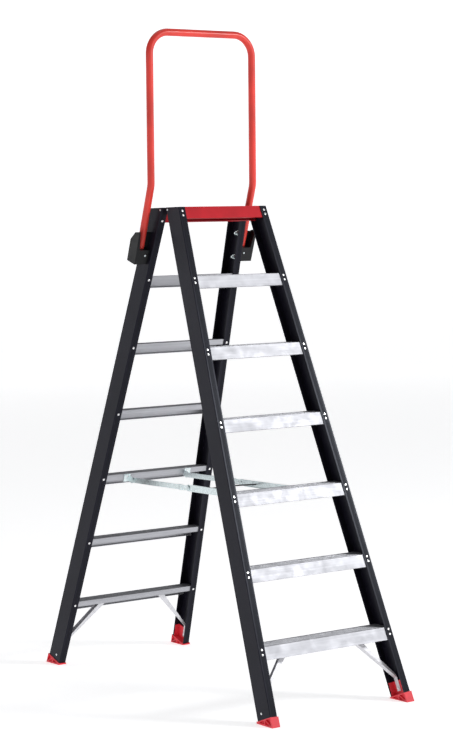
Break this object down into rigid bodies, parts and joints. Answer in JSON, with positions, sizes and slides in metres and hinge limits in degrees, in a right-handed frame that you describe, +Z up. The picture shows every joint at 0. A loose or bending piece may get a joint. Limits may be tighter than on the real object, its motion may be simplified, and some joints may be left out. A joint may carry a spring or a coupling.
{
  "type": "step ladder",
  "caption": "Double-sided folding step ladder with ribbed aluminium treads, red platform step, wedge feet, folding spreader and a lift-off tubular handrail hoop.",
  "frame": {"origin": "the point on the floor midway between the four feet", "axes": "+Z up; the front frame is climbed from -Y and the rear frame, which carries the hoop, from +Y; +X to the right of a person facing the front"},
  "size_m": [0.5796, 1.3946, 2.2425],
  "materials": {
    "stile_coat": "satin charcoal powder coat over the extrusion",
    "tread_aluminium": "extruded, ribbed",
    "brace_aluminium": "extruded",
    "rivet_aluminium": "bright",
    "red_coat": "satin red coat over the extrusion",
    "red_hoop": "semi-gloss red powder coat",
    "red_plastic": "moulded",
    "black_plastic": "moulded",
    "zinc_steel": "zinc plated",
    "dark_rod": "black"
  },
  "bodies": {
    "front_frame": {"front_stile_left": "stile_coat", "front_foot_left": "red_plastic", "front_brace_left": "brace_aluminium", "front_spreader_bracket_left": "zinc_steel", "front_stile_right": "stile_coat", "front_foot_right": "red_plastic", "front_brace_right": "brace_aluminium", "front_spreader_bracket_right": "zinc_steel", "front_tread_1": "tread_aluminium", "front_tread_2": "tread_aluminium", "front_tread_3": "tread_aluminium", "front_tread_4": "tread_aluminium", "front_tread_5": "tread_aluminium", "front_tread_6": "tread_aluminium", "front_platform_step": "red_coat", "front_tread_rivets": "rivet_aluminium", "front_foot_rivets": "rivet_aluminium", "front_brace_rivets": "rivet_aluminium", "front_bracket_rivets": "rivet_aluminium", "front_platform_screws": "zinc_steel", "front_spreader_pins": "zinc_steel", "hinge_end_caps": "red_plastic"},
    "rear_frame": {"rear_stile_left": "stile_coat", "rear_foot_left": "red_plastic", "rear_brace_left": "brace_aluminium", "rear_spreader_bracket_left": "zinc_steel", "rear_stile_right": "stile_coat", "rear_foot_right": "red_plastic", "rear_brace_right": "brace_aluminium", "rear_spreader_bracket_right": "zinc_steel", "rear_tread_1": "tread_aluminium", "rear_tread_2": "tread_aluminium", "rear_tread_3": "tread_aluminium", "rear_tread_4": "tread_aluminium", "rear_tread_5": "tread_aluminium", "rear_tread_6": "tread_aluminium", "rear_platform_step": "red_coat", "rear_tread_rivets": "rivet_aluminium", "rear_foot_rivets": "rivet_aluminium", "rear_brace_rivets": "rivet_aluminium", "rear_bracket_rivets": "rivet_aluminium", "rear_platform_screws": "zinc_steel", "rear_spreader_pins": "zinc_steel", "hoop_socket_left": "black_plastic", "hoop_socket_right": "black_plastic", "hoop_socket_bolts": "zinc_steel", "hoop_latch_screws": "zinc_steel"},
    "front_links": {"front_link_left": "zinc_steel", "front_link_right": "zinc_steel", "spreader_pull_rod": "dark_rod", "meeting_pins": "zinc_steel"},
    "rear_link_left": {"rear_link_left": "zinc_steel"},
    "rear_link_right": {"rear_link_right": "zinc_steel"},
    "handrail": {"handrail_hoop": "red_hoop", "hoop_leg_plugs": "black_plastic"}
  },
  "joints": [
    {"name": "fold", "type": "hinge", "parent": "front_frame", "child": "rear_frame", "pos_m": [0, 0, 1.612], "axis": [-1, 0, 0], "range_deg": [0, 40]},
    {"name": "front_links_swing", "type": "hinge", "parent": "front_frame", "child": "front_links", "pos_m": [0, -0.34833, 0.68193], "axis": [1, 0, 0], "range_deg": [0, 68]},
    {"name": "rear_link_left_swing", "type": "hinge", "parent": "rear_frame", "child": "rear_link_left", "pos_m": [0, 0.34833, 0.68193], "axis": [-1, 0, 0], "range_deg": [0, 68]},
    {"name": "rear_link_right_swing", "type": "hinge", "parent": "rear_frame", "child": "rear_link_right", "pos_m": [0, 0.34833, 0.68193], "axis": [-1, 0, 0], "range_deg": [0, 68]},
    {"name": "hoop_lift", "type": "slide", "parent": "rear_frame", "child": "handrail", "axis": [0, -0.3453, 0.9385], "range_m": [0, 0.12]}
  ],
  "couplings": [
    {"joint": "front_links_swing", "follows": "fold", "ratio": 1.7},
    {"joint": "rear_link_left_swing", "follows": "fold", "ratio": 1.7},
    {"joint": "rear_link_right_swing", "follows": "fold", "ratio": 1.7}
  ]
}
